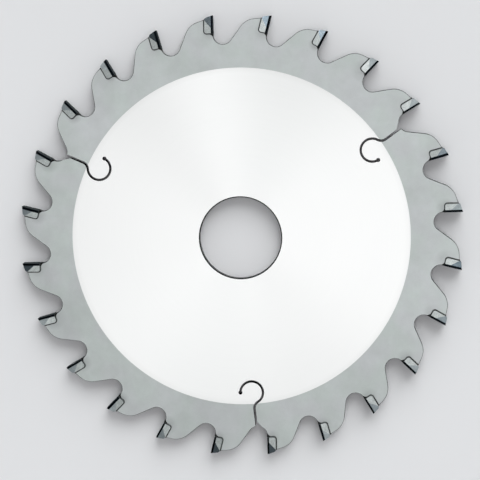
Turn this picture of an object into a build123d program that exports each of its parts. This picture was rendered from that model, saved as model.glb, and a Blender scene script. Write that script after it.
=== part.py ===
from build123d import *

import os
from math import acos, atan2, cos, degrees, radians, sin, sqrt, tan

os.makedirs("parts", exist_ok=True)

# Conical scoring saw blade: a thin steel body with a brazed carbide tip on every tooth.
# Lengths are millimetres and angles degrees. The blade lies flat with its axis on Z and its
# mid-plane at Z = 0. Seen from +Z it cuts clockwise, so a tooth's cutting face looks clockwise.
# A tooth is drawn as if it stood at +Y: X runs forwards into its gullet and Y runs outwards.

# Steel body. The rim is ground a little thinner than the hub.
outer_diameter = 120.0
bore_diameter = 22.0
bore_chamfer = 0.3
hub_thickness = 2.2
rim_thickness = 2.1
rim_width = 14.25

# Tooth spacing, and the clockwise angle of the first tooth from +Y
tooth_count = 24
first_tooth_angle = 8.3

# Carbide tip seen from the side, with its sizes along and square to the cutting face
hook_angle = 6.0
top_clearance = 12.0
tip_length = 4.75
tip_thickness = 2.25
tip_bevel_width = 0.3
tip_bevel_height = 0.4
seat_corner_radius = 0.6

# Carbide tip seen from the front. The kerf widens from the outer end to the inner end, which
# makes the blade conical: a deeper pass scores a wider groove.
kerf_outer = 3.0
kerf_inner = 4.0

# Each side of a tip is ground in three facets, each steeper than the one before: a narrow margin
# along the cutting face, a land over the outer end, and the relief over the rest. The seam between
# land and relief slants from the back of the tip down to the margin, and both of its ends are
# measured inwards from the cutting corner.
margin_clearance = 1.0
land_clearance = 6.5
relief_clearance = 8.0
margin_width = 0.5
seam_back_depth = 1.25
seam_front_depth = 3.3

# Tooth back and gullet. The flank is measured from the tooth's own X direction.
back_drop = 0.1
back_slope = 12.0
back_radius = 5.0
throat_setback = 0.55
gullet_depth = 7.95
gullet_radius = 2.6
flank_angle = 47.2

# Expansion slots. Each leaves a gullet, runs inwards and curls into a hook.
slot_count = 3
slot_tooth = 3
slot_width = 0.66
slot_run = 5.0
bend_radius = 2.0
hook_radius = 3.08
hook_offset = 0.2
hook_end_angle = -6.0
slot_end_diameter = 1.1
funnel_angle = 52.0
mouth_radius = 0.3

# Chamfer that takes the burr off the tooth outline on both faces, all but the seats
edge_break = 0.12

outer_radius = outer_diameter / 2
hub_radius = outer_radius - rim_width
pitch = 360 / tooth_count
next_tooth = Plane.XY.rotated((0, 0, -pitch))

# Frame of a tip, with its origin on the cutting corner and Y outwards along the cutting face
tip_frame = Plane(
    origin=(0, outer_radius, 0),
    x_dir=(cos(radians(hook_angle)), -sin(radians(hook_angle)), 0),
    z_dir=(0, 0, 1),
)

# The top of a tip falls away behind its cutting corner and ends in a bevel at its back.
top_fall = tan(radians(hook_angle + top_clearance))
bevel_start = (-tip_thickness + tip_bevel_width, (-tip_thickness + tip_bevel_width) * top_fall)
bevel_end = (-tip_thickness, bevel_start[1] - tip_bevel_height)

# Centre of a gullet's round bottom, and where the slot in line with it leaves that bottom
gullet_x = gullet_radius - throat_setback
gullet_y = outer_radius - gullet_depth + gullet_radius
slot_mouth = (
    gullet_x + slot_width / 2,
    gullet_y - sqrt(gullet_radius**2 - (slot_width / 2) ** 2),
)

# One tooth's edge, from the top of its seat, round its gullet, to the next tooth's seat
with BuildLine() as tooth_edge:
    seat_top = tip_frame.from_local_coords((bevel_end[0], bevel_end[1] - back_drop, 0))
    seat_corner = tip_frame.from_local_coords((-tip_thickness, -tip_length, 0))
    throat = Line((-throat_setback, 0), (-throat_setback, outer_radius), mode=Mode.PRIVATE)
    shelf = IntersectingLine(seat_corner, tip_frame.x_dir, throat, mode=Mode.PRIVATE)
    FilletPolyline(seat_top, seat_corner, shelf @ 1, radius=seat_corner_radius)

    gullet = CenterArc((gullet_x, gullet_y), gullet_radius, 180, 90 + flank_angle)
    Line(shelf @ 1, gullet @ 0)

    next_seat_top = next_tooth.from_local_coords(seat_top)
    back = PolarLine(next_seat_top, outer_radius, 180 + back_slope - pitch, mode=Mode.PRIVATE)
    flank = IntersectingLine(gullet @ 1, gullet % 1, back, mode=Mode.PRIVATE)
    FilletPolyline(gullet @ 1, flank @ 1, next_seat_top, radius=back_radius)

# One expansion slot, with the funnel that leads into it from the gullet's rear wall
with BuildSketch() as slot:
    bend_y = slot_mouth[1] - slot_run
    bend_sweep = degrees(acos((bend_radius + hook_offset) / (bend_radius + hook_radius)))
    hook_y = bend_y - (bend_radius + hook_radius) * sin(radians(bend_sweep))
    with BuildLine():
        Line((gullet_x, gullet_y), (gullet_x, bend_y))
        CenterArc((gullet_x - bend_radius, bend_y), bend_radius, 0, -bend_sweep)
        hook = CenterArc(
            (gullet_x + hook_offset, hook_y),
            hook_radius,
            180 - bend_sweep,
            180 + bend_sweep + hook_end_angle,
        )
    trace(line_width=slot_width)
    with Locations(hook @ 1):
        Circle(slot_end_diameter / 2)

    funnel_top = CenterArc(
        (gullet_x, gullet_y), gullet_radius, 180, 90 - funnel_angle, mode=Mode.PRIVATE
    )
    slot_wall_x = gullet_x - slot_width / 2
    funnel_drop = (slot_wall_x - (funnel_top @ 1).X) * tan(radians(funnel_angle))
    funnel_foot = (slot_wall_x, (funnel_top @ 1).Y - funnel_drop)
    with BuildLine():
        Polyline(
            funnel_top @ 1,
            funnel_foot,
            (gullet_x, funnel_foot[1]),
            (gullet_x, gullet_y),
            close=True,
        )
    make_face()



def along_seat(edge):
    """Whether an edge of the tooth outline borders a tip's seat."""
    middle = edge.center()
    clockwise = degrees(atan2(middle.X, middle.Y)) - first_tooth_angle
    number = round(clockwise / pitch)
    upright = middle.rotate(Axis.Z, first_tooth_angle + number * pitch)
    spot = tip_frame.to_local_coords(upright)
    return -tip_thickness - 0.01 < spot.X < 0 and spot.Y > -tip_length - 0.01


# Steel body: the toothed plate with its bore, ground back over the rim, deburred, then slotted
with BuildPart() as saw_body:
    with BuildSketch():
        with BuildLine():
            with PolarLocations(0, tooth_count, start_angle=-first_tooth_angle):
                add(tooth_edge.line)
        make_face()
        Circle(bore_diameter / 2, mode=Mode.SUBTRACT)
    extrude(amount=hub_thickness / 2, both=True)

    bore_edges = saw_body.edges().filter_by(GeomType.CIRCLE).sort_by_distance((0, 0, 0))[:2]
    chamfer(bore_edges, bore_chamfer)

    with BuildSketch(
        Plane.XY.offset(rim_thickness / 2), (-Plane.XY).offset(rim_thickness / 2)
    ):
        Circle(outer_radius)
        Circle(hub_radius, mode=Mode.SUBTRACT)
    extrude(amount=hub_thickness, mode=Mode.SUBTRACT)

    for height in (rim_thickness / 2, -rim_thickness / 2):
        rim_edges = saw_body.edges().filter_by_position(Axis.Z, height, height)
        hub_edge = rim_edges.sort_by_distance((0, 0, height))[0]
        outline = [edge for edge in rim_edges - [hub_edge] if not along_seat(edge)]
        chamfer(outline, edge_break)

    slot_places = PolarLocations(
        0, slot_count, start_angle=-first_tooth_angle - slot_tooth * pitch
    )
    with BuildSketch():
        with slot_places:
            add(slot.sketch)
    extrude(amount=hub_thickness, both=True, mode=Mode.SUBTRACT)

    walls = saw_body.edges().filter_by(Axis.Z)
    mouths = [(place * Pos(*slot_mouth)).position for place in slot_places]
    fillet([walls.sort_by_distance(mouth)[0] for mouth in mouths], mouth_radius)
saw_body.part.label = "saw_body"
export_step(saw_body.part, "parts/saw_body.step")

# Carbide tip in its own frame, cut to the cone's taper and to its clearances on both sides.
with BuildPart() as tip_blank:
    with BuildSketch():
        with BuildLine():
            Polyline((0, -tip_length), (0, 0), bevel_start, bevel_end)
            FilletPolyline(
                bevel_end,
                (-tip_thickness, -tip_length),
                (0, -tip_length),
                radius=seat_corner_radius,
            )
        make_face()
    extrude(amount=kerf_inner, both=True)

    kerf_slope = (kerf_inner - kerf_outer) / 2 / tip_length
    margin_rise, land_rise, relief_rise = [
        tan(radians(clearance))
        for clearance in (margin_clearance, land_clearance, relief_clearance)
    ]
    margin_half = kerf_outer / 2 - margin_width * margin_rise
    seam_half = margin_half + seam_front_depth * kerf_slope
    seam_lean = (tip_thickness - margin_width) / (seam_front_depth - seam_back_depth)
    relief_slope = kerf_slope - (relief_rise - land_rise) * seam_lean
    for side in (1, -1):
        margin = Plane((0, 0, side * kerf_outer / 2), z_dir=(-margin_rise, kerf_slope, side))
        land = Plane((-margin_width, 0, side * margin_half), z_dir=(-land_rise, kerf_slope, side))
        relief = Plane(
            (-margin_width, -seam_front_depth, side * seam_half),
            z_dir=(-relief_rise, relief_slope, side),
        )
        for facet in (margin, land, relief):
            split(bisect_by=facet, keep=Keep.BOTTOM)

for number in range(tooth_count):
    with BuildPart() as carbide_tip:
        with Locations(Rot(0, 0, -first_tooth_angle - number * pitch) * tip_frame.location):
            add(tip_blank.part)
    carbide_tip.part.label = f"carbide_tip_{number + 1:02d}"
    export_step(carbide_tip.part, f"parts/{carbide_tip.part.label}.step")
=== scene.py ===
from math import cos, pi, radians, sin, tan

import bmesh
import bpy
from mathutils import Matrix, Vector, noise


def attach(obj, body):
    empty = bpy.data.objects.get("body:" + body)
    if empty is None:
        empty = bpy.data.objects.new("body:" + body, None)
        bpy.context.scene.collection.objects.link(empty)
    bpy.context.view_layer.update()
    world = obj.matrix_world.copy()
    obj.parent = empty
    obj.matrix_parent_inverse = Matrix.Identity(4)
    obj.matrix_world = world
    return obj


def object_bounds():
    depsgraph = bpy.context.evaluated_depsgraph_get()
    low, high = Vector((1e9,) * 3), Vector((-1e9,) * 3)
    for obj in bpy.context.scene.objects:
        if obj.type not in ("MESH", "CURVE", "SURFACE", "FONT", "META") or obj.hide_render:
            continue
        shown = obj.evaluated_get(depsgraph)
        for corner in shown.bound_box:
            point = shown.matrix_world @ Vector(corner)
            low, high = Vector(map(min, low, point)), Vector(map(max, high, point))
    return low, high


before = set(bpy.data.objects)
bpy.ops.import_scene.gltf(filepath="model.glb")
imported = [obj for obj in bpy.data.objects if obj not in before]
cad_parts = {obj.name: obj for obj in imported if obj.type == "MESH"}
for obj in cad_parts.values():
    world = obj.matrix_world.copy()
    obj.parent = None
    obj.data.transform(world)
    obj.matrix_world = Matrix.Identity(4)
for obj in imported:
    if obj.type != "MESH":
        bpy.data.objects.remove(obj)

cad_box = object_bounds()

# The blade lies flat with its axis on Z. Its sizes are millimetres times MM, and a tooth is
# described as if it stood at +Y: X runs forwards into its gullet and Y runs outwards. The room's
# sizes are metres.
MM = 0.001

# Steel body, as far as its finish and the solder need it
OUTER_RADIUS = 60.0 * MM
BORE_RADIUS = 11.0 * MM
RIM_WIDTH = 14.25 * MM
RIM_THICKNESS = 2.1 * MM
GULLET_DEPTH = 7.95 * MM
THROAT_SETBACK = 0.55 * MM
BACK_DROP = 0.1 * MM
HUB_RADIUS = OUTER_RADIUS - RIM_WIDTH

# Teeth: the clockwise angle of the first one from +Y, and their even pitch
FIRST_TOOTH_ANGLE = radians(8.3)
tips = sorted(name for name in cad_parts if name.startswith("carbide_tip"))
PITCH = 2 * pi / len(tips)

# Carbide tip, with its sizes along and square to the cutting face
HOOK_ANGLE = radians(6.0)
TOP_CLEARANCE = radians(12.0)
TIP_LENGTH = 4.75 * MM
TIP_THICKNESS = 2.25 * MM
TIP_BEVEL_WIDTH = 0.3 * MM
TIP_BEVEL_HEIGHT = 0.4 * MM
SEAT_CORNER_RADIUS = 0.6 * MM

# Facets on the side of a tip. The seam between land and relief slants inwards from the tip's back
# to the margin.
MARGIN_WIDTH = 0.5 * MM
SEAM_BACK_DEPTH = 1.25 * MM
SEAM_FRONT_DEPTH = 3.3 * MM
SEAM_SLOPE = (SEAM_FRONT_DEPTH - SEAM_BACK_DEPTH) / (TIP_THICKNESS - MARGIN_WIDTH)

# A surface is ground flat where it looks along Z more squarely than the first, and a cut wall
# where it does so less than the second. What lies between is a chamfer.
FLAT_UPNESS = 0.9
WALL_UPNESS = 0.5

# Walls and chamfers nearer to the axis than these belong to the bore and to the slots.
BORE_REACH = BORE_RADIUS + 1.0 * MM
SLOT_REACH = OUTER_RADIUS - GULLET_DEPTH - 0.1 * MM

# The range in which noise mostly lies
NOISE_LOW = 0.3
NOISE_HIGH = 0.7

# Unevenness of the steel: how wide its patches are, the noise between which one shade turns into
# the next, and how much lighter or darker that makes it
STEEL_SHADE_SIZE = 40.0 * MM
STEEL_TINT_SIZE = 9.0 * MM
STEEL_CLOUD_SIZE = 5.0 * MM
STEEL_GRAIN_SIZE = 0.25 * MM
RIM_GRAIN_HEIGHT = 0.004 * MM
RIM_TINT_NOISE = (0.38, 0.62)
RIM_SHADE_NOISE = (0.7, 1.3)
RIM_TONES = (0.9, 1.1)
SPECK_NOISE = (0.62, 0.74)
SPECK_STRENGTHS = (0.0, 0.3)
HUB_TONES = (0.988, 1.006)
CUT_WALL_TONES = (0.8, 1.2)

# Grinding lay of the hub: how far apart its scratches are, how often they change round a turn,
# and how far they draw a reflection out across them
SCRATCH_SPACING = 0.12 * MM
SCRATCHES_ROUND = 2.5
HUB_ANISOTROPY = 0.65
QUARTER_TURN = 0.25

# The hub's outer edge is rolled over a little. The light it loses there is painted shade: a ring
# that darkens the colour towards the edge.
ROLLED_EDGE_WIDTH = 1.6 * MM
ROLLED_EDGE_PAINTED_SHADE = 0.95

# Heat mark on the plate, centred behind the cutting face at the tip's inner end
HEAT_MARK_SETBACK = 0.6 * TIP_THICKNESS
HEAT_MARK_REACH = (1.6 * MM, 3.4 * MM)
HEAT_MARK_CORE = 0.4
HEAT_MARK_NOISE = (0.35, 0.6)
HEAT_MARK_TONE = 0.82

# Unevenness of the carbide, and how far its black reaches back from the cutting face
CARBIDE_CLOUD_SIZE = 1.2 * MM
CARBIDE_GRAIN_SIZE = 0.3 * MM
CARBIDE_GRAIN_HEIGHT = 0.0015 * MM
CARBIDE_SHADE_NOISE = (0.75, 1.25)
CARBIDE_TONES = (0.84, 1.16)
DULL_LAND_NOISE = (0.15, 0.65)
BLACK_WIDTH = (0.9 * MARGIN_WIDTH, 1.4 * MARGIN_WIDTH)

# Unevenness of the solder, and the part below the tip's front that is black: flux blackened by
# brazing, with painted shade under the tip's overhang
SOLDER_CLOUD_SIZE = 0.8 * MM
SOLDER_GRAIN_SIZE = 0.15 * MM
SOLDER_GRAIN_HEIGHT = 0.006 * MM
SOLDER_TINT_NOISE = (0.35, 0.7)
FLUX_SHADE_DROP = 0.02 * MM
FLUX_SHADE_REACH = 0.8 * MM
# Painted shade: how much darker the solder behind the tip is, where the tip's proud back shades it
SOLDER_BACK_PAINTED_SHADE = 0.5

# Starts of the values that differ from tooth to tooth: the heat it took, how dull its land is,
# and how wide its black margin is
OWN_HEAT = 0.0
OWN_DULLNESS = 40.0
OWN_MARGIN = 80.0

# Roughness, as a range where it varies. The edge of a tip is all but its two sides.
HUB_ROUGHNESS = (0.28, 0.32)
RIM_ROUGHNESS = (0.43, 0.49)
CUT_ROUGHNESS = 0.45
RELIEF_ROUGHNESS = 0.44
LAND_ROUGHNESS = (0.18, 0.42)
CARBIDE_EDGE_ROUGHNESS = 0.6
SOLDER_ROUGHNESS = (0.46, 0.66)
FLOOR_ROUGHNESS = 0.7

# How metallic the cut walls and the solder are, which scale and flux dull, and the specular level
# of everything but the slots' walls and the tips' edges, which have none
CUT_WALL_METALLIC = 0.5
SOLDER_METALLIC = 0.6
PLAIN_SPECULAR = 0.5

# Solder beads. Each face of the plate has one where a tip stands proud of its seat. It swells at
# random, thins out along the shelf and spreads at the throat. Its foot is sunk into the steel. The
# next tooth's bead takes its swelling from the noise one step further on.
BEAD_FOOT = 0.33 * MM
BEAD_RISE = 0.27 * MM
BEAD_SUNK = 0.02 * MM
BEAD_SWELL = 0.15
BEAD_SWELLS_PER_MM = 0.8
BEAD_NOISE_STEP = 7.0
SHELF_THINNING = 0.4
SPREAD_START = 0.9 * MM
SPREAD_GAIN = 3.3
PATH_STEPS = 8
SECTION_STEPS = 6

# Solder run, which goes down the throat's wall from one face of the plate to the other
RUN_FORWARD = 0.17 * MM
RUN_INWARD = 1.1 * MM
RUN_HOLLOW = 0.3
RUN_SWELL = 0.25
RUN_NOISE_STEP = 3.1
RUN_WAIST = 0.08
RUN_LEVELS = 4

# Camera: tilted towards +Y and +X from straight above, with the middle of the view set a little
# off the blade's axis
CAMERA_DISTANCE = 444.8 * MM
CAMERA_TILT = radians(6.818)
CAMERA_SWING = radians(3.876)
CAMERA_AIM = (-0.209 * MM, -0.693 * MM)
CAMERA_LENS = 123.31
CAMERA_SENSOR = 36.0
CAMERA_NEAR = 0.01
CAMERA_FAR = 20.0

# Floor
FLOOR_SIZE = 8.0
FLOOR_CLOUD_SIZE = 0.09

# Surroundings: strengths that go from the first to the second between two elevations in degrees.
# Mirrors and the camera see the horizon, and paint gets the glow.
ROOM_TINT = (0.95, 1.0, 0.985, 1.0)
HORIZON_ELEVATIONS = (35, 55)
HORIZON_STRENGTHS = (0.9, 0.15)
GLOW_ELEVATIONS = (12, 40)
GLOW_STRENGTHS = (1.14, 0.24)

# Key light: the direction it comes from, far enough away to be even over the whole floor. Its
# strength grows between two elevations towards that direction, which itself is at 90 degrees.
KEY_DIRECTION = (0.28, 0.93, 0.5)
KEY_ELEVATIONS = (55, 75)
KEY_STRENGTHS = (0.0, 4.5)

# Lamps, and the power that an area lamp needs for each square metre and unit of radiance
STRAIGHT_DOWN = Vector((0.0, 0.0, -1.0))
OVERHEAD_PLACE = Vector((0.03, -0.125, 0.8))
OVERHEAD_SIZE = (0.7, 0.41)
OVERHEAD_RADIANCE = 0.835
CORNER_PLACE = Vector((0.28, 0.215, 0.8))
CORNER_SIZE = (0.22, 0.21)
CORNER_RADIANCE = 0.85
ACCENT_PLACE = Vector((-0.22, 0.52, 1.02))
ACCENT_SIZE = (0.22, 0.5)
ACCENT_RADIANCE = 2.4
POWER_PER_RADIANCE = 4.0


def grey(level, red=1.0, green=1.0, blue=1.0):
    """A colour from an sRGB level of 0 to 255, with small pulls of its channels."""
    linear = (level / 255) ** 2.2
    return (linear * red, linear * green, linear * blue, 1.0)


# Colours, in pairs where a surface varies between two
HUB_COLOURS = (grey(247), grey(250))
RIM_COLOURS = (grey(203, 0.94, 1.0, 0.985), grey(203, 0.975, 1.0, 1.02))
SPECK_COLOUR = grey(130)
CUT_WALL_COLOUR = grey(66, 0.95, 1.0, 1.02)
# The slots' walls are burnt oxide, painted near black as painted shade for the depths of the
# narrow slots.
SLOT_WALL_OXIDE_AND_SHADE = grey(12)
BORE_WALL_COLOUR = grey(96)
# The chamfers are painted dark: painted shade that draws the dark lines along the rim's edges and
# round the bore.
RIM_CHAMFER_PAINTED_SHADE = grey(74, 0.92, 1.0, 1.0)
BORE_CHAMFER_PAINTED_SHADE = grey(44, 0.92, 1.0, 1.0)
RELIEF_COLOURS = (grey(190, 0.95, 1.0, 1.0), grey(226, 0.96, 1.0, 1.0))
LAND_COLOURS = (grey(132, 0.8, 1.0, 1.15), grey(190, 0.92, 1.0, 1.04))
MARGIN_COLOUR = grey(24, 0.6, 1.0, 1.5)
CARBIDE_EDGE_COLOUR = grey(62, 0.9, 1.0, 1.06)
SOLDER_COLOURS = (grey(62, 0.95, 1.0, 1.0), grey(102, 0.95, 1.0, 1.0))
# Black of flux blackened by brazing, and painted shade under the tip's overhang
FLUX_AND_SHADE_COLOUR = grey(22, 0.9, 1.0, 1.0)
FLOOR_COLOURS = (grey(224, 1.02, 0.99, 1.025), grey(231, 1.02, 0.99, 1.025))


class Nodes:
    """The node tree of a material or the world, with short ways to add the nodes they share."""

    def __init__(self, owner, coordinates="Object"):
        owner.use_nodes = True
        self.tree = owner.node_tree
        self.tree.nodes.clear()
        self.place = self.node("ShaderNodeTexCoord").outputs[coordinates]

    def feed(self, socket, value):
        if isinstance(value, bpy.types.NodeSocket):
            self.tree.links.new(value, socket)
        else:
            socket.default_value = value

    def node(self, kind, inputs=None, **settings):
        made = self.tree.nodes.new(kind)
        for key, value in settings.items():
            setattr(made, key, value)
        for key, value in (inputs or {}).items():
            self.feed(made.inputs[key], value)
        return made

    def maths(self, operation, a, b=0.0):
        return self.node("ShaderNodeMath", {0: a, 1: b}, operation=operation).outputs[0]

    def scaled(self, value, factor):
        return self.maths("MULTIPLY", value, factor)

    def vector(self, operation, a, b=(0.0, 0.0, 0.0)):
        return self.node("ShaderNodeVectorMath", {0: a, 1: b}, operation=operation)

    def ramp(self, value, low, high, to_low=0.0, to_high=1.0, shape="LINEAR"):
        """value taken from the range low..high to the range to_low..to_high, and held there."""
        inputs = {0: value, 1: low, 2: high, 3: to_low, 4: to_high}
        return self.node("ShaderNodeMapRange", inputs, interpolation_type=shape).outputs[0]

    def vary(self, cloud, to_low, to_high):
        """Noise taken from its usual range to the range to_low..to_high, and held there."""
        return self.ramp(cloud, NOISE_LOW, NOISE_HIGH, to_low, to_high)

    def mix(self, share, a, b):
        """Colour a where share is 0 and colour b where it is 1."""
        inputs = {0: share, 6: a, 7: b}
        return self.node("ShaderNodeMix", inputs, data_type="RGBA").outputs[2]

    def blend(self, share, a, b):
        """Number a where share is 0 and number b where it is 1."""
        return self.node("ShaderNodeMix", {0: share, 2: a, 3: b}).outputs[0]

    def tone(self, colour, factor):
        """colour made lighter or darker by a number that varies about 1."""
        inputs = {0: 1.0, 6: colour, 7: factor}
        made = self.node("ShaderNodeMix", inputs, data_type="RGBA", blend_type="MULTIPLY")
        return made.outputs[2]

    def noise(self, where, size, detail=3.0, rough=0.5):
        """Cloudy noise from 0 to 1 whose patches are about size wide."""
        spread = self.vector("MULTIPLY", where, (1 / size, 1 / size, 1 / size)).outputs[0]
        inputs = {"Vector": spread, "Scale": 1.0, "Detail": detail, "Roughness": rough}
        return self.node("ShaderNodeTexNoise", inputs).outputs[0]

    def upness(self):
        """1 on a face that looks along Z either way, 0 on a wall."""
        normal = self.node("ShaderNodeNewGeometry").outputs["True Normal"]
        z = self.node("ShaderNodeSeparateXYZ", {0: normal}).outputs[2]
        return self.maths("ABSOLUTE", z)

    def bump(self, height):
        """The shading normal of a surface with this height in metres."""
        inputs = {"Height": height, "Distance": 1.0, "Strength": 1.0}
        return self.node("ShaderNodeBump", inputs).outputs[0]

    def surface(self, inputs):
        """Ends a material's tree in a shader with these inputs."""
        shader = self.node("ShaderNodeBsdfPrincipled", inputs)
        self.node("ShaderNodeOutputMaterial", {"Surface": shader.outputs[0]})


def from_axis(finish):
    """A point's place flattened onto the plate's plane, and its distance from the axis."""
    flat = finish.vector("MULTIPLY", finish.place, (1.0, 1.0, 0.0)).outputs[0]
    return flat, finish.vector("LENGTH", flat).outputs[1]


def tooth_frame(finish):
    """Where a point lies in its own tip's frame, and that tooth's number."""
    axes = finish.node("ShaderNodeSeparateXYZ", {0: finish.place})
    turn = finish.maths("ARCTAN2", axes.outputs[0], axes.outputs[1])
    steps = finish.maths("DIVIDE", finish.maths("SUBTRACT", turn, FIRST_TOOTH_ANGLE), PITCH)
    number = finish.maths("ROUND", steps)
    angle = finish.scaled(finish.maths("SUBTRACT", steps, number), PITCH)

    radius = from_axis(finish)[1]
    x = finish.maths("MULTIPLY", radius, finish.maths("SINE", angle))
    y = finish.maths("MULTIPLY", radius, finish.maths("COSINE", angle))
    y = finish.maths("SUBTRACT", y, OUTER_RADIUS)

    along_x = finish.scaled(x, cos(HOOK_ANGLE))
    along_y = finish.scaled(y, sin(HOOK_ANGLE))
    forward = finish.maths("SUBTRACT", along_x, along_y)
    along_x = finish.scaled(x, sin(HOOK_ANGLE))
    along_y = finish.scaled(y, cos(HOOK_ANGLE))
    outward = finish.maths("ADD", along_x, along_y)
    return forward, outward, number


def own_value(finish, number, start):
    """A number from 0 to 1 that each tooth has for itself, another one for each start."""
    seed = finish.maths("ADD", number, start)
    return finish.node("ShaderNodeTexWhiteNoise", {"W": seed}, noise_dimensions="1D").outputs[0]


def ring_scratches(finish, flat, radius):
    """Noise drawn out round the axis, as a grinding wheel leaves it on a turning disc."""
    direction = finish.vector("NORMALIZE", flat).outputs[0]
    turns = (SCRATCHES_ROUND, SCRATCHES_ROUND, 0.0)
    around = finish.vector("MULTIPLY", direction, turns).outputs[0]
    outwards = finish.maths("DIVIDE", radius, SCRATCH_SPACING)
    across = finish.node("ShaderNodeCombineXYZ", {2: outwards}).outputs[0]
    where = finish.vector("ADD", around, across).outputs[0]
    return finish.noise(where, size=1.0, detail=3.0, rough=0.6)


def heat_mark(finish, cloud):
    """A factor that darkens the plate a little round the inner end of each tip."""
    forward, outward, number = tooth_frame(finish)
    across = finish.maths("ADD", forward, HEAT_MARK_SETBACK)
    down = finish.maths("ADD", outward, TIP_LENGTH)
    offset = finish.node("ShaderNodeCombineXYZ", {0: across, 1: down}).outputs[0]
    distance = finish.vector("LENGTH", offset).outputs[1]
    reach = finish.ramp(own_value(finish, number, OWN_HEAT), 0.0, 1.0, *HEAT_MARK_REACH)
    strength = finish.ramp(finish.maths("DIVIDE", distance, reach), HEAT_MARK_CORE, 1.0, 1.0, 0.0)
    patchy = finish.maths("MULTIPLY", strength, finish.ramp(cloud, *HEAT_MARK_NOISE))
    return finish.ramp(patchy, 0.0, 1.0, 1.0, HEAT_MARK_TONE)


def plate_steel():
    """Ground tool steel: a bright hub, a matt grey rim and dark cut walls, with painted shade on
    the chamfers, in the slots and at the hub's rolled edge.
    """
    material = bpy.data.materials.new("plate_steel")
    finish = Nodes(material)
    flat, radius = from_axis(finish)
    up = finish.upness()
    on_face = finish.maths("GREATER_THAN", up, FLAT_UPNESS)
    on_wall = finish.maths("LESS_THAN", up, WALL_UPNESS)
    in_hub = finish.maths("LESS_THAN", radius, HUB_RADIUS)
    in_bore = finish.maths("LESS_THAN", radius, BORE_REACH)
    in_slot = finish.maths("LESS_THAN", radius, SLOT_REACH)

    broad = finish.noise(finish.place, STEEL_SHADE_SIZE, detail=2.0)
    cloud = finish.noise(finish.place, STEEL_CLOUD_SIZE, detail=5.0, rough=0.6)
    grain = finish.noise(finish.place, STEEL_GRAIN_SIZE, detail=4.0, rough=0.65)
    lay = ring_scratches(finish, flat, radius)

    hub = finish.tone(finish.mix(broad, *HUB_COLOURS), finish.vary(lay, *HUB_TONES))
    # Painted shade: the hub's colour darkens over the last stretch before its rolled edge.
    edge_start = HUB_RADIUS - ROLLED_EDGE_WIDTH
    hub = finish.tone(hub, finish.ramp(radius, edge_start, HUB_RADIUS, 1.0, ROLLED_EDGE_PAINTED_SHADE))

    tint = finish.ramp(finish.noise(finish.place, STEEL_TINT_SIZE), *RIM_TINT_NOISE)
    shade = finish.ramp(finish.maths("ADD", broad, cloud), *RIM_SHADE_NOISE, *RIM_TONES)
    rim = finish.tone(finish.mix(tint, *RIM_COLOURS), shade)
    specks = finish.ramp(grain, *SPECK_NOISE, *SPECK_STRENGTHS)
    rim = finish.mix(specks, rim, SPECK_COLOUR)
    rim = finish.tone(rim, heat_mark(finish, cloud))

    cut_wall = finish.tone(CUT_WALL_COLOUR, finish.vary(cloud, *CUT_WALL_TONES))
    # In the slots the walls are oxide with painted shade, near black and without a specular level.
    wall = finish.mix(in_slot, cut_wall, SLOT_WALL_OXIDE_AND_SHADE)
    wall = finish.mix(in_bore, wall, BORE_WALL_COLOUR)
    # Chamfers get their painted shade, darkest round the bore.
    chamfer = finish.mix(in_bore, RIM_CHAMFER_PAINTED_SHADE, BORE_CHAMFER_PAINTED_SHADE)
    cut = finish.mix(on_wall, chamfer, wall)

    face_rough = finish.blend(
        in_hub, finish.vary(cloud, *RIM_ROUGHNESS), finish.vary(lay, *HUB_ROUGHNESS)
    )
    wall_metal = finish.blend(in_slot, CUT_WALL_METALLIC, 0.0)
    slot_wall = finish.maths("MULTIPLY", on_wall, in_slot)
    height = finish.maths("MULTIPLY", grain, finish.blend(in_hub, RIM_GRAIN_HEIGHT, 0.0))
    on_hub_face = finish.maths("MULTIPLY", in_hub, on_face)
    around = finish.node("ShaderNodeTangent", direction_type="RADIAL", axis="Z").outputs[0]
    finish.surface(
        {
            "Base Color": finish.mix(on_face, cut, finish.mix(in_hub, rim, hub)),
            "Roughness": finish.blend(on_face, CUT_ROUGHNESS, face_rough),
            "Metallic": finish.blend(on_wall, 1.0, finish.blend(in_bore, wall_metal, 1.0)),
            "Specular IOR Level": finish.blend(slot_wall, PLAIN_SPECULAR, 0.0),
            "Anisotropic": finish.scaled(on_hub_face, HUB_ANISOTROPY),
            "Anisotropic Rotation": QUARTER_TURN,
            "Tangent": around,
            "Normal": finish.bump(height),
        }
    )
    return material


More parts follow.
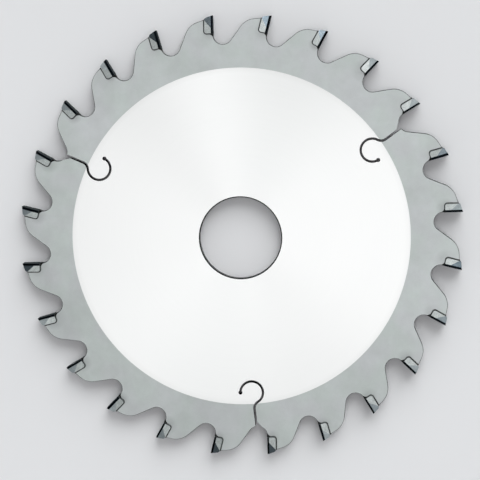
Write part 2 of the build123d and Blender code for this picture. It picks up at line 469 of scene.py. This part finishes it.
def carbide():
    """Tungsten carbide: a black margin, a dark mirror of a land and a paler, duller relief."""
    material = bpy.data.materials.new("carbide")
    finish = Nodes(material)
    forward, outward, number = tooth_frame(finish)
    heat = own_value(finish, number, OWN_HEAT)
    dull = finish.ramp(own_value(finish, number, OWN_DULLNESS), *DULL_LAND_NOISE)
    black_width = finish.ramp(own_value(finish, number, OWN_MARGIN), 0.0, 1.0, *BLACK_WIDTH)

    on_side = finish.maths("GREATER_THAN", finish.upness(), FLAT_UPNESS)
    on_margin = finish.maths("GREATER_THAN", finish.maths("ADD", forward, black_width), 0.0)
    behind = finish.maths("SUBTRACT", -MARGIN_WIDTH, forward)
    seam = finish.maths("SUBTRACT", finish.scaled(behind, SEAM_SLOPE), SEAM_FRONT_DEPTH)
    on_land = finish.maths("GREATER_THAN", outward, seam)

    grain = finish.noise(finish.place, CARBIDE_GRAIN_SIZE, detail=4.0, rough=0.6)
    cloud = finish.noise(finish.place, CARBIDE_CLOUD_SIZE, detail=3.0, rough=0.6)
    shade = finish.ramp(finish.maths("ADD", grain, cloud), *CARBIDE_SHADE_NOISE, *CARBIDE_TONES)

    relief = finish.mix(heat, *RELIEF_COLOURS)
    side = finish.mix(on_land, relief, finish.mix(dull, *LAND_COLOURS))
    side = finish.mix(on_margin, side, MARGIN_COLOUR)
    side_rough = finish.blend(on_land, RELIEF_ROUGHNESS, finish.blend(dull, *LAND_ROUGHNESS))
    finish.surface(
        {
            "Base Color": finish.tone(finish.mix(on_side, CARBIDE_EDGE_COLOUR, side), shade),
            "Roughness": finish.blend(on_side, CARBIDE_EDGE_ROUGHNESS, side_rough),
            "Metallic": on_side,
            "Specular IOR Level": finish.scaled(on_side, PLAIN_SPECULAR),
            "Normal": finish.bump(finish.scaled(grain, CARBIDE_GRAIN_HEIGHT)),
        }
    )
    return material


def silver_solder():
    """Silver solder dulled by brazing heat, with blackened flux and painted shade under the tip's
    front.
    """
    material = bpy.data.materials.new("silver_solder")
    finish = Nodes(material)
    forward, outward, number = tooth_frame(finish)
    # Painted shade under the tip's overhang, together with blackened flux: the solder below the
    # tip's front turns black.
    under_tip = finish.maths("LESS_THAN", outward, -TIP_LENGTH - FLUX_SHADE_DROP)
    near_front = finish.maths("GREATER_THAN", forward, -FLUX_SHADE_REACH)
    burnt_and_shaded = finish.maths("MULTIPLY", under_tip, near_front)
    behind_tip = finish.maths("LESS_THAN", forward, -TIP_THICKNESS)

    cloud = finish.noise(finish.place, SOLDER_CLOUD_SIZE, detail=4.0, rough=0.6)
    grain = finish.noise(finish.place, SOLDER_GRAIN_SIZE, detail=3.0, rough=0.6)
    colour = finish.mix(finish.ramp(cloud, *SOLDER_TINT_NOISE), *SOLDER_COLOURS)
    # Painted shade: the solder behind the tip is darkened, as the tip's proud back shades it.
    colour = finish.tone(colour, finish.blend(behind_tip, 1.0, SOLDER_BACK_PAINTED_SHADE))
    finish.surface(
        {
            "Base Color": finish.mix(burnt_and_shaded, colour, FLUX_AND_SHADE_COLOUR),
            "Roughness": finish.vary(grain, *SOLDER_ROUGHNESS),
            "Metallic": SOLDER_METALLIC,
            "Normal": finish.bump(finish.scaled(grain, SOLDER_GRAIN_HEIGHT)),
        }
    )
    return material


def floor_paint():
    """Plain pale floor, with a trace of unevenness."""
    material = bpy.data.materials.new("floor_paint")
    finish = Nodes(material)
    cloud = finish.noise(finish.place, FLOOR_CLOUD_SIZE, detail=2.0)
    colour = finish.mix(cloud, *FLOOR_COLOURS)
    finish.surface({"Base Color": colour, "Roughness": FLOOR_ROUGHNESS})
    return material


def dress(piece, material):
    piece.data.materials.clear()
    piece.data.materials.append(material)


def add_mesh(name, mesh, material):
    """Puts a finished bmesh into the scene as an object with one material."""
    data = bpy.data.meshes.new(name)
    mesh.to_mesh(data)
    mesh.free()
    piece = bpy.data.objects.new(name, data)
    bpy.context.scene.collection.objects.link(piece)
    dress(piece, material)
    return piece


def throat_x(outward):
    """Where the throat's wall passes at this height in the tip's frame."""
    return (-THROAT_SETBACK - outward * sin(HOOK_ANGLE)) / cos(HOOK_ANGLE)


def seat_path():
    """Points of the seat in the tip's frame, from its top down its back and in to the throat."""
    top_fall = (TIP_THICKNESS - TIP_BEVEL_WIDTH) * tan(HOOK_ANGLE + TOP_CLEARANCE)
    top = -top_fall - TIP_BEVEL_HEIGHT - BACK_DROP
    centre = Vector((SEAT_CORNER_RADIUS - TIP_THICKNESS, SEAT_CORNER_RADIUS - TIP_LENGTH))
    throat = throat_x(-TIP_LENGTH)
    back, corner, shelf = [], [], []
    for step in range(PATH_STEPS + 1):
        share = step / PATH_STEPS
        angle = pi / 2 * share
        back.append(Vector((-TIP_THICKNESS, top + (centre.y - top) * share)))
        corner.append(centre - SEAT_CORNER_RADIUS * Vector((cos(angle), sin(angle))))
        shelf.append(Vector((centre.x + (throat - centre.x) * share, -TIP_LENGTH)))
    return back[:-1] + corner + shelf[1:]


def fillet_section(foot, rise, hollow):
    """A fillet in (away, up) from the seat line, and the buried corner that closes it.

    Its face is a quarter ellipse where hollow is 1, and straight where it is 0.
    """
    face = []
    for step in range(SECTION_STEPS + 1):
        share = step / SECTION_STEPS
        near = hollow * (1 - sin(pi / 2 * share)) + (1 - hollow) * (1 - share)
        high = hollow * (1 - cos(pi / 2 * share)) + (1 - hollow) * share
        face.append((foot * near, rise * high))
    return [(foot, -BEAD_SUNK)] + face + [(-BEAD_SUNK, rise), (-BEAD_SUNK, -BEAD_SUNK)]


def close_loft(mesh, rings):
    """Skins closed rings of equal count and caps both ends."""
    count = len(rings[0])
    for low, high in zip(rings, rings[1:]):
        for index in range(count):
            after = (index + 1) % count
            mesh.faces.new((low[index], low[after], high[after], high[index]))
    mesh.faces.new(rings[0][::-1])
    mesh.faces.new(rings[-1])


def add_bead(mesh, side, number):
    """One bead along the seat, on the upper face where side is 1 and the lower where it is -1."""
    path = seat_path()
    rings = []
    for index, point in enumerate(path):
        ahead = path[min(index + 1, len(path) - 1)]
        behind = path[max(index - 1, 0)]
        along = (ahead - behind).normalized()
        away = Vector((along.y, -along.x))
        sample = Vector((point.x / MM, point.y / MM, number * BEAD_NOISE_STEP + side))
        swell = 1.0 + BEAD_SWELL * noise.noise(sample * BEAD_SWELLS_PER_MM)
        swell *= 1.0 - SHELF_THINNING * (1.0 + point.x / TIP_THICKNESS)
        at_throat = max(0.0, 1.0 + (point.x - path[-1].x) / SPREAD_START)
        foot = BEAD_FOOT * swell * (1.0 + SPREAD_GAIN * at_throat**2)
        ring = []
        for out, up in fillet_section(foot, BEAD_RISE * swell, hollow=1.0):
            spot = point + away * out
            ring.append(mesh.verts.new((spot.x, spot.y, side * (RIM_THICKNESS / 2 + up))))
        rings.append(ring)
    close_loft(mesh, rings)


def add_run(mesh, number):
    """The solder that runs down the throat's wall from the tip's inner end."""
    swell = 1.0 + RUN_SWELL * noise.noise(Vector((number * RUN_NOISE_STEP, 0.5, 0.5)))
    rings = []
    for level in range(RUN_LEVELS + 1):
        height = RIM_THICKNESS * (level / RUN_LEVELS - 0.5)
        size = swell * (1.0 - RUN_WAIST * sin(pi * level / RUN_LEVELS))
        ring = []
        for out, down in fillet_section(RUN_FORWARD * size, RUN_INWARD * size, RUN_HOLLOW):
            y = -TIP_LENGTH - down
            ring.append(mesh.verts.new((throat_x(y) + out, y, height)))
        rings.append(ring)
    close_loft(mesh, rings)


def add_solder(number, material):
    """The solder round one tip, as one piece."""
    mesh = bmesh.new()
    for side in (1, -1):
        add_bead(mesh, side, number)
    add_run(mesh, number)
    bmesh.ops.recalc_face_normals(mesh, faces=mesh.faces)
    for face in mesh.faces:
        face.smooth = True
    tooth_turn = Matrix.Rotation(-FIRST_TOOTH_ANGLE - number * PITCH, 4, "Z")
    tip_place = Matrix.Translation((0, OUTER_RADIUS, 0)) @ Matrix.Rotation(-HOOK_ANGLE, 4, "Z")
    mesh.transform(tooth_turn @ tip_place)
    piece = add_mesh(f"solder_{number + 1:02d}", mesh, material)
    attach(piece, "root")


def add_camera():
    data = bpy.data.cameras.new("camera")
    data.lens = CAMERA_LENS
    data.sensor_width = CAMERA_SENSOR
    data.clip_start = CAMERA_NEAR
    data.clip_end = CAMERA_FAR
    camera = bpy.data.objects.new("camera", data)
    bpy.context.scene.collection.objects.link(camera)
    tilt = Matrix.Rotation(-CAMERA_TILT, 4, "X")
    swing = Matrix.Rotation(CAMERA_SWING, 4, "Y")
    back = Matrix.Translation((*CAMERA_AIM, CAMERA_DISTANCE))
    camera.matrix_world = tilt @ swing @ back
    bpy.context.scene.camera = camera


def add_floor():
    """A floor that the blade lies on, wide enough to reach the horizon of a low view."""
    mesh = bmesh.new()
    bmesh.ops.create_grid(mesh, x_segments=4, y_segments=4, size=FLOOR_SIZE / 2)
    floor = add_mesh("floor", mesh, floor_paint())
    floor.location.z = cad_box[0].z


def add_softbox(name, place, size, radiance, aim=STRAIGHT_DOWN):
    """A rectangular soft lamp whose face is as bright as radiance says, turned the way of aim."""
    data = bpy.data.lights.new(name, "AREA")
    data.shape = "RECTANGLE"
    data.size, data.size_y = size
    data.energy = POWER_PER_RADIANCE * radiance * size[0] * size[1]
    lamp = bpy.data.objects.new(name, data)
    bpy.context.scene.collection.objects.link(lamp)
    lamp.location = place
    lamp.rotation_mode = "QUATERNION"
    lamp.rotation_quaternion = aim.to_track_quat("-Z", "Y")
    return lamp


def add_lamps():
    """A lamp over the blade, a smaller one beside it, and an accent that only mirrors show."""
    add_softbox("overhead_softbox", OVERHEAD_PLACE, OVERHEAD_SIZE, OVERHEAD_RADIANCE)
    add_softbox("corner_softbox", CORNER_PLACE, CORNER_SIZE, CORNER_RADIANCE)
    accent = add_softbox(
        "accent_softbox", ACCENT_PLACE, ACCENT_SIZE, ACCENT_RADIANCE, aim=-ACCENT_PLACE
    )
    accent.visible_diffuse = False


def elevation_ramp(room, height, elevations, strengths):
    """A strength that goes smoothly from its first value to its second between two elevations.

    height is the sine of the elevation, over the horizon or towards any other direction.
    """
    low, high = (sin(radians(elevation)) for elevation in elevations)
    return room.ramp(height, low, high, *strengths, shape="SMOOTHSTEP")


def add_room():
    """Surroundings: pale low down and dark overhead, with a bright patch for paint alone."""
    world = bpy.data.worlds.new("room")
    bpy.context.scene.world = world
    room = Nodes(world, "Generated")
    height = room.node("ShaderNodeSeparateXYZ", {0: room.place}).outputs[2]
    horizon = elevation_ramp(room, height, HORIZON_ELEVATIONS, HORIZON_STRENGTHS)
    glow = elevation_ramp(room, height, GLOW_ELEVATIONS, GLOW_STRENGTHS)
    key_direction = Vector(KEY_DIRECTION).normalized()
    toward_key = room.vector("DOT_PRODUCT", room.place, key_direction).outputs["Value"]
    key = elevation_ramp(room, toward_key, KEY_ELEVATIONS, KEY_STRENGTHS)

    path = room.node("ShaderNodeLightPath").outputs
    mirrored = room.maths("MAXIMUM", path["Is Camera Ray"], path["Is Glossy Ray"])
    mirrored = room.maths("MAXIMUM", mirrored, path["Is Transmission Ray"])
    strength = room.blend(mirrored, room.maths("ADD", glow, key), horizon)
    inputs = {"Color": ROOM_TINT, "Strength": strength}
    background = room.node("ShaderNodeBackground", inputs)
    room.node("ShaderNodeOutputWorld", {"Surface": background.outputs[0]})


add_camera()
add_room()
add_floor()
add_lamps()

dress(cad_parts["saw_body"], plate_steel())
carbide_finish = carbide()
solder_finish = silver_solder()
for number, name in enumerate(tips):
    dress(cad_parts[name], carbide_finish)
    add_solder(number, solder_finish)

bpy.context.scene.view_settings.view_transform = "Standard"
